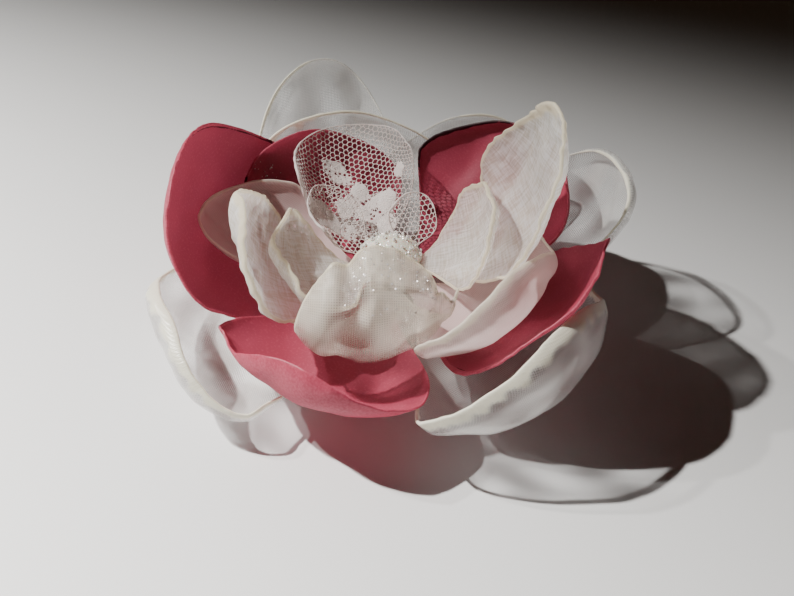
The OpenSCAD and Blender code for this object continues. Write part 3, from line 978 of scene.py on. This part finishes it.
def petal_values(p, look, disc, flat, side):
    """What a petal's material needs at each point.

    How melted or burnt it is, from a band along the rim, ragged in waves of 4.5 mm; how far it
    lets light straight through, in clouds of 10 mm; whether the bright face, with its painted
    sheen, shows, on the outside and outside the burnt line; and where holes are worked into it.
    """
    rim = RIMS[p.node]
    x, y = disc[:, 0], disc[:, 1]
    band, near = melted_band(rim, x, y)
    band = band * (1 + 0.35 * ripples(*flat.T, 4.5, p.seed + 7))
    inset = rim.inset * near * (1 + 0.3 * ripples(*flat.T, 5, p.seed + 8))
    inward = (1 - np.hypot(x, y)) * p.half - inset
    burnt = (1 - ease(inward, 0.6 * band, 1.2 * band + 0.1)) * ease(inward, -0.25, 0)
    burnt = burnt * np.clip(band / THIN_BAND, 0, 1)
    burnt = np.where((side < -0.5) & (rim.inset > 0), 0, burnt)
    clear = look.clear * rim.sheer * (1 + 0.3 * ripples(*flat.T, 10, p.seed + 9))
    for thin in THINS.get(p.node, ()):
        clear = clear + thin.more * np.exp(-((x - thin.x) ** 2 + (y - thin.y) ** 2) / thin.reach ** 2)
    lacy = ease(-x, 0.66, 0.74) * ease(y, -0.3, -0.15) * (p.node == HOLED_NODE)
    return {"rim": burnt, "open": np.clip(clear * (1 - burnt), 0, 0.9), "holes": lacy,
            "face": np.where(side > 0.5, 1 - ease(inward, -0.2, 0), 1)}


def make_cloth(settings, cloth, material, nodes=None, rings=42, spokes=220):
    """The petals of one woven cloth, all or those named, smaller petals on a coarser grid."""
    look = getattr(settings, cloth)
    for p in (p for p in petals(settings.sizes) if p.cloth == cloth and p.node in (nodes or RIMS)):
        share = 0.65 if p.long < 0.45 else 0.85 if p.long < 0.6 else 1.0

        def place(x, y):
            return petal_place(p, look, x, y)

        points, faces, flat, disc, side = shell(
            place, half_wall(p, look), int(rings * share), int(spokes * share))
        piece = mesh_object(p.node + "_cloth", points, outward(points, faces), flat,
                            petal_values(p, look, disc, flat, side))
        placed(piece, material, cloth, p.node)
        declare_petal(p)


def disc_place(p, s, along):
    """Where on the unit disc a place on the flat cut lies, but for the rolled rim and the corner."""
    t = along / p.length
    return s / (p.half * width_share(p, np.clip(t, 0, 1))), 2 * t - 1


def net(p, look, place):
    """The threads of a hexagonal net on a petal: each side of each cell is a thin tube.

    The net is a skewed grid of pairs of knots, low and high, each moved at random by up to a tenth
    of a cell. A thread joins each pair, and two run from each high knot to the low ones of the
    next row. The rows are turned by the net's tilt, and threads that cross the rim end on it.
    """
    cell = look.cell / MM
    count = int(p.length / cell)
    rng = np.random.default_rng(3)
    i, j = np.meshgrid(np.arange(-2 * count, 2 * count + 1), np.arange(-count, count + 1))
    grid = np.stack([cell * (i + j / 2), cell * j * np.sqrt(0.75)], -1)
    low = grid + rng.uniform(-0.1, 0.1, grid.shape) * cell
    high = grid + [0, cell / np.sqrt(3)] + rng.uniform(-0.1, 0.1, grid.shape) * cell
    start = np.concatenate([part.reshape(-1, 2) for part in (low, high[:-1], high[:-1, 1:])])
    end = np.concatenate([part.reshape(-1, 2) for part in (high, low[1:], low[1:, :-1])])
    knots = np.stack([start, end])
    s = knots[..., 0] * np.cos(look.tilt) - knots[..., 1] * np.sin(look.tilt)
    along = knots[..., 0] * np.sin(look.tilt) + knots[..., 1] * np.cos(look.tilt) + p.length / 2
    knots = np.stack(disc_place(p, s, along), -1)
    knots = knots[:, np.linalg.norm(knots, axis=-1).min(0) < NET_REACH]
    r = np.linalg.norm(knots, axis=-1)
    each = np.arange(knots.shape[1])
    inner, outer = knots[r.argmin(0), each], knots[r.argmax(0), each]
    share = (NET_REACH - r.min(0)) / np.maximum(r.max(0) - r.min(0), 1e-9)
    outer = inner + (outer - inner) * np.minimum(share, 1)[:, None]
    first, normal, _ = with_normals(place, *inner.T)
    return tubes(first, place(*outer.T)[0], normal, np.full(len(first), look.wall / MM / 2))


def border(look, place, flank_at=75, flank_spread=40, count=260):
    """The melted cord round a lace petal's rim, thickest on the flank that was turned over, in degrees
    round from the tip.
    """
    turn = turns(count)
    middle, normal, flat = with_normals(place, NET_REACH * np.sin(turn), NET_REACH * np.cos(turn))
    flank = np.exp(-((np.degrees(turn) - flank_at) / flank_spread) ** 2)
    lumps = 1 + 0.25 * ripples(*flat.T, 2.5, 11)
    return ring_tube(middle, normal, look.lip / MM * (0.4 + 0.9 * flank) * lumps)


def stitched_leaf(leaf, p, place):
    """One padded leaf of satin stitch, pointed at both ends, with ridges 0.45 mm apart across it."""
    turn = np.radians(leaf.turn)

    def on_petal(u, v):
        wavy = 1 + 0.16 * ripples(leaf.across + u, leaf.along + v, 0.9, 17)
        across = leaf.width / 2 * u * wavy * (1 - 0.3 * v * v)
        along = leaf.length / 2 * v * wavy
        s = leaf.across + across * np.cos(turn) + along * np.sin(turn)
        run = leaf.along - across * np.sin(turn) + along * np.cos(turn)
        return place(*disc_place(p, s, run))

    def padding(u, v):
        raised = 0.14 + 0.18 * (1 - leaf.holed) * (1 - u * u - v * v)
        return raised + 0.05 * np.sin(np.pi * v * leaf.length / 0.45)

    points, faces, *_ = shell(on_petal, padding, 12, 60)
    return points, faces


def make_lace(p, look, material):
    """One lace petal: net, border and stitched leaves in one piece."""
    def place(x, y):
        return petal_place(p, look, x, y)

    open_parts = [net(p, look, place), border(look, place)]
    leaves = LEAVES.get(p.node, [])
    parts = open_parts + [stitched_leaf(leaf, p, place) for leaf in leaves]
    points, faces = joined(parts)
    holes = np.repeat([0, 0] + [leaf.holed for leaf in leaves], [len(part[0]) for part in parts])
    piece = mesh_object(p.node + "_cloth", points, faces, floats={"holes": holes})
    placed(piece, material, "lace", p.node)
    declare_petal(p)


def crown_places(rise, az):
    """Places and normals on the glue's dome, from the sine of the rise over its rim and the azimuth."""
    radius, _, top = round_solid(*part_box("bead_core"))
    level = np.sqrt(1 - rise ** 2)
    x, y = level * np.cos(az), level * np.sin(az)
    spot = np.stack([radius * x, radius * y, top - CROWN_H * (1 - rise)], -1)
    normal = unit(np.stack([x / radius, y / radius, rise / CROWN_H], -1))
    return HEART + spot, normal


def make_glue(material, around=96):
    """The stem and dome of glue, with lumps of up to a third of a millimetre."""
    radius, bottom, top = round_solid(*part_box("bead_core"))
    angle = np.radians(np.arange(0, 81, 8))
    stem = np.linspace(bottom, top - CROWN_H - (radius - STEM_R), 8)
    height = np.concatenate([stem, top - CROWN_H + CROWN_H * np.sin(angle)])
    out = np.concatenate([np.full(len(stem), STEM_R), radius * np.cos(angle)])[:, None]
    turn = turns(around)
    u, v = np.broadcast_arrays(np.sin(turn) * out, height[:, None])
    lumps = 0.3 * ripples(u, v, 3.0, 21)
    profile = np.concatenate([[height[0]], height, [top]])
    points, faces = joined([spun(out + lumps * (out > STEM_R), profile, around)])
    piece = mesh_object("glue", points + HEART, faces)
    placed(piece, material, "glue_and_beads", "bead_core")


def make_beads(look, material):
    """Seed beads in a sunflower's spiral over the dome, half sunk in it and tipped at random.

    Each is a ring whose hole is a fifth of its width.
    """
    rng = np.random.default_rng(5)
    n = np.arange(look.beads)
    spot, normal = crown_places(1 - 0.9 * (n + 0.5) / look.beads, n * SPIRAL)
    turn = turns(14)
    ring = np.stack([np.cos(turn), np.sin(turn), np.zeros(14)], -1) * 0.6
    bead = ring_tube(ring, np.broadcast_to([0.0, 0.0, 1.0], ring.shape), np.full(14, 0.4), 10)
    scale = look.bead / MM / 2 * rng.uniform(0.85, 1.1, len(n))
    axes = tilted_axes(normal, rng, 1.1)
    points, faces = joined([copies(*bead, spot + normal * BEAD_LIFT, axes, scale)])
    placed(mesh_object("seed_beads", points, faces), material, "glue_and_beads")


def make_glitter(settings, material):
    """Flakes of glitter, thin eight-sided lozenges, strewn on the glue and on some petals.

    They are turned so that most catch the light.
    """
    rng = np.random.default_rng(7)
    spots = [crown_places(rng.uniform(0.1, 1, GLUE_FLAKES) ** 0.5, rng.uniform(0, 2 * np.pi, GLUE_FLAKES))]
    for patch in SPARKLES:
        p = next(p for p in petals(settings.sizes) if p.node == patch.node)
        look = getattr(settings, p.cloth)
        x = rng.uniform(patch.x0, patch.x1, patch.count)
        y = rng.uniform(patch.y0, patch.y1, patch.count)
        inside = np.hypot(x, y) < 0.97
        spot, normal, _ = with_normals(
            lambda u, v: petal_place(p, look, u, v), x[inside], y[inside])
        normal = normal * patch.side
        spots.append((spot + normal * (look.wall / MM / 2 + FLAKE_LIFT), normal))
    spot, normal = (np.concatenate(part) for part in zip(*spots))
    lozenge = np.array([[1, 0, 0], [0, 1, 0], [-1, 0, 0], [0, -1, 0], [0, 0, 0.15], [0, 0, -0.15]])
    sides = np.array([
        [0, 1, 4], [1, 2, 4], [2, 3, 4], [3, 0, 4], [1, 0, 5], [2, 1, 5], [3, 2, 5], [0, 3, 5]])
    scale = settings.core.flake / MM / 2 * rng.uniform(0.5, 1.3, len(spot))
    axes = tilted_axes(unit(normal + 2 * GLINT), rng, 0.45)
    points, faces = joined([copies(lozenge, [sides], spot, axes, scale)])
    placed(mesh_object("glitter", points, faces, smooth=False), material, "glue_and_beads")


def make_felt(material, around=240):
    """The felt disc, its cut rim rounded and fuzzy by a tenth of a millimetre."""
    radius, bottom, top = round_solid(*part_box("felt_backing"))
    thick = top - bottom
    share = np.array([0.5, 0.85, 0.97, 1.0, 1.0, 0.97, 0.85, 0.5])
    height = bottom + thick * np.array([0, 0, 0.03, 0.25, 0.75, 0.97, 1, 1])
    turn = turns(around)
    u, v = radius * np.cos(turn), radius * np.sin(turn)
    fuzz = 0.1 * np.stack([ripples(u, v, 1.2, k) for k in range(8)])
    out = radius * share[:, None] - 0.1 + fuzz * (share[:, None] > 0.9)
    profile = np.concatenate([[bottom], height, [top]])
    points, faces = joined([spun(out, profile, around)])
    piece = mesh_object("felt", points + HEART, faces)
    placed(piece, material, "felt", "felt_backing")


class FLOWER_OT_organza(bpy.types.Operator):
    """Make the sheer outer petals"""

    bl_idname = "flower.organza"
    bl_label = "Organza petals"

    def execute(self, context):
        settings = context.scene.flower
        cloth = new_material("white organza", sheer_surface, settings.organza, 0.4, 0.25)
        make_cloth(settings, "organza", cloth)
        return {"FINISHED"}


class FLOWER_OT_satin(bpy.types.Operator):
    """Make the crimson petals"""

    bl_idname = "flower.satin"
    bl_label = "Satin petals"

    def execute(self, context):
        settings = context.scene.flower
        make_cloth(settings, "satin", new_material("crimson satin", satin_surface, settings.satin))
        return {"FINISHED"}


class FLOWER_OT_chiffon(bpy.types.Operator):
    """Make the pale pink petals"""

    bl_idname = "flower.chiffon"
    bl_label = "Chiffon petals"

    def execute(self, context):
        settings = context.scene.flower
        cloth = new_material("pale pink chiffon", sheer_surface, settings.chiffon, 0.35, 0.5)
        make_cloth(settings, "chiffon", cloth)
        return {"FINISHED"}


class FLOWER_OT_lace(bpy.types.Operator):
    """Make the lace petals"""

    bl_idname = "flower.lace"
    bl_label = "Lace petals"

    def execute(self, context):
        settings = context.scene.flower
        thread = new_material("white lace thread", thread_surface, settings.lace)
        for p in petals(settings.sizes):
            if p.cloth == "lace":
                make_lace(p, settings.lace, thread)
        return {"FINISHED"}


class FLOWER_OT_crepe(bpy.types.Operator):
    """Make the ivory inner petals"""

    bl_idname = "flower.crepe"
    bl_label = "Crepe petals"

    def execute(self, context):
        settings = context.scene.flower
        rough = [p.node for p in PETALS if p.cloth == "crepe" and p.node != FINE_NODE]
        make_cloth(settings, "crepe", new_material("ivory crepe", crepe_surface, settings.crepe), rough)
        voile = new_material("fine ivory voile", sheer_surface, settings.crepe, 0.45, 0.5)
        make_cloth(settings, "crepe", voile, [FINE_NODE])
        return {"FINISHED"}


class FLOWER_OT_core(bpy.types.Operator):
    """Make the glue, the beads and the glitter"""

    bl_idname = "flower.core"
    bl_label = "Glue, beads and glitter"

    def execute(self, context):
        settings = context.scene.flower
        make_glue(new_material("hot-melt glue", glue_surface, settings.core))
        make_beads(settings.core, new_material("clear glass bead", glass_surface))
        make_glitter(settings, new_material("glitter flake", glitter_surface))
        return {"FINISHED"}


class FLOWER_OT_backing(bpy.types.Operator):
    """Make the felt, and finish the bar pin"""

    bl_idname = "flower.backing"
    bl_label = "Felt and pin"

    def execute(self, context):
        look = context.scene.flower.core
        make_felt(new_material("off-white craft felt", felt_surface, look))
        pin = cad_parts["bar_pin"]
        pin.data.materials.clear()
        pin.data.materials.append(new_material("nickel-plated steel", steel_surface, look))
        return {"FINISHED"}


def aim(thing, place, target):
    """Puts a lamp or camera at a place and turns it to a target, both in metres."""
    thing.location = place
    thing.rotation_euler = (Vector(target) - Vector(place)).to_track_quat("-Z", "Y").to_euler()


def make_camera(scene, elevation=38.0, distance=200.0, height=16.36):
    """The camera at the photograph's angle: its lens from its focal length in pixels, and a small
    shift that puts the aim off the picture's middle.
    """
    data = bpy.data.cameras.new("camera")
    data.sensor_width = 36.0
    data.lens = FOCAL_PX / PICTURE[0] * data.sensor_width
    data.shift_x = (PICTURE[0] / 2 - AIM_AT[0]) / PICTURE[0]
    data.shift_y = (AIM_AT[1] - PICTURE[1] / 2) / PICTURE[0]
    data.clip_start = 0.005
    camera = bpy.data.objects.new("camera", data)
    scene.collection.objects.link(camera)
    target = HEART + np.array([0, 0, height])
    e = np.radians(elevation)
    place = target + distance * np.array([0, -np.cos(e), np.sin(e)])
    aim(camera, place * MM, target * MM)
    scene.camera = camera


def make_floor(look, radius=4.0, spokes=64):
    """A wide plain disc under the flower, of pale matt card."""
    turn = turns(spokes)
    rim = np.stack([np.cos(turn), np.sin(turn), np.zeros(spokes)], -1) * radius
    mesh = bpy.data.meshes.new("floor")
    mesh.from_pydata(rim.tolist(), [], [list(range(spokes))])
    floor = bpy.data.objects.new("floor", mesh)
    bpy.context.scene.collection.objects.link(floor)
    mesh.materials.append(new_material("pale card", card_surface, look))


def make_lights(scene, look):
    """Two lamps side by side at the left, and a dim warm room.

    The second gives each shadow a fainter edge. Their beams are centred in front of the flower on
    the left, and fade to the right and the back.
    """
    for name, power, place in (
            ("key", look.key, (-0.44, 0.094, 0.60)), ("second", look.second, (-0.50, 0.14, 0.56))):
        light = bpy.data.lights.new(name, "SPOT")
        light.energy = power
        light.spot_size = np.radians(128)
        light.spot_blend = 1.0
        light.shadow_soft_size = 0.009
        light.color = linear("#fffdf8")[:3]
        lamp = bpy.data.objects.new(name, light)
        scene.collection.objects.link(lamp)
        aim(lamp, place, (-0.47, -0.50, 0.0))
    world = bpy.data.worlds.new("dim room")
    world.use_nodes = True
    background = world.node_tree.nodes["Background"]
    background.inputs["Color"].default_value = linear("#ffcfa6")
    background.inputs["Strength"].default_value = look.room
    scene.world = world


class FLOWER_OT_stage(bpy.types.Operator):
    """Lay the floor, light it and set the camera"""

    bl_idname = "flower.stage"
    bl_label = "Floor, lights and camera"

    def execute(self, context):
        look = context.scene.flower.stage
        make_camera(context.scene)
        make_floor(look)
        make_lights(context.scene, look)
        return {"FINISHED"}


STEPS = (
    FLOWER_OT_organza, FLOWER_OT_satin, FLOWER_OT_chiffon, FLOWER_OT_lace, FLOWER_OT_crepe,
    FLOWER_OT_core, FLOWER_OT_backing, FLOWER_OT_stage)


class FLOWER_PT_panel(bpy.types.Panel):
    """The flower's steps and settings, in the 3D view's sidebar"""

    bl_idname = "FLOWER_PT_panel"
    bl_label = "Cloth flower"
    bl_space_type = "VIEW_3D"
    bl_region_type = "UI"
    bl_category = "Flower"

    def draw(self, context):
        for step in STEPS:
            self.layout.operator(step.bl_idname)
        for group in GROUPS:
            look = getattr(context.scene.flower, group)
            box = self.layout.box()
            box.label(text=group.capitalize())
            for key in type(look).__annotations__:
                box.prop(look, key)


CLASSES = (*GROUPS.values(), FlowerSettings, *STEPS, FLOWER_PT_panel)


def register():
    """Registers the classes and hangs the settings on the scene."""
    for kind in CLASSES:
        bpy.utils.register_class(kind)
    bpy.types.Scene.flower = bpy.props.PointerProperty(type=FlowerSettings)


def unregister():
    """Takes the settings and the classes away again."""
    del bpy.types.Scene.flower
    for kind in reversed(CLASSES):
        bpy.utils.unregister_class(kind)


def main():
    """Runs each step in order."""
    register()
    for step in STEPS:
        group, name = step.bl_idname.split(".")
        getattr(getattr(bpy.ops, group), name)()


if __name__ == "__main__":
    main()
